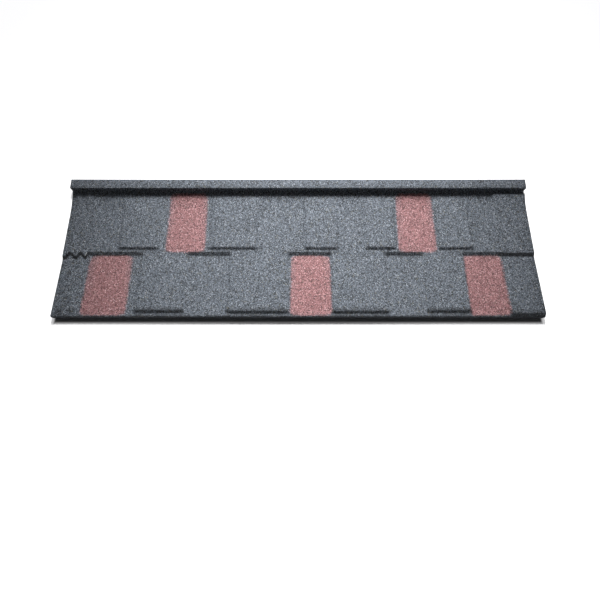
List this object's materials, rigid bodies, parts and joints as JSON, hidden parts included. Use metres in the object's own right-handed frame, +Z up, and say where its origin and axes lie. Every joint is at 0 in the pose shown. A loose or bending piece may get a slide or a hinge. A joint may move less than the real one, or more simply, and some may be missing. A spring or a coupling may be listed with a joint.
{
  "type": "tile effect metal roofing sheet",
  "caption": "Stone chip coated pressed steel roofing panel with two rows of raised shingle faces, a turned down nose and a rear ledge, laid in lapping courses.",
  "frame": {"origin": "middle of the panel's plan, on the level that it lies on", "axes": "+X along the panel, from the side lap ribs to the side lap strip; +Y up the roof, from the nose to the ledge; +Z up out of the roof"},
  "size_m": [1.34, 0.408, 0.0276],
  "materials": {
    "chip_coat": "matte crushed stone chips, grey to black, with patches of brick red chips"
  },
  "bodies": {
    "root": {"shingle_panel": "chip_coat"}
  },
  "joints": []
}
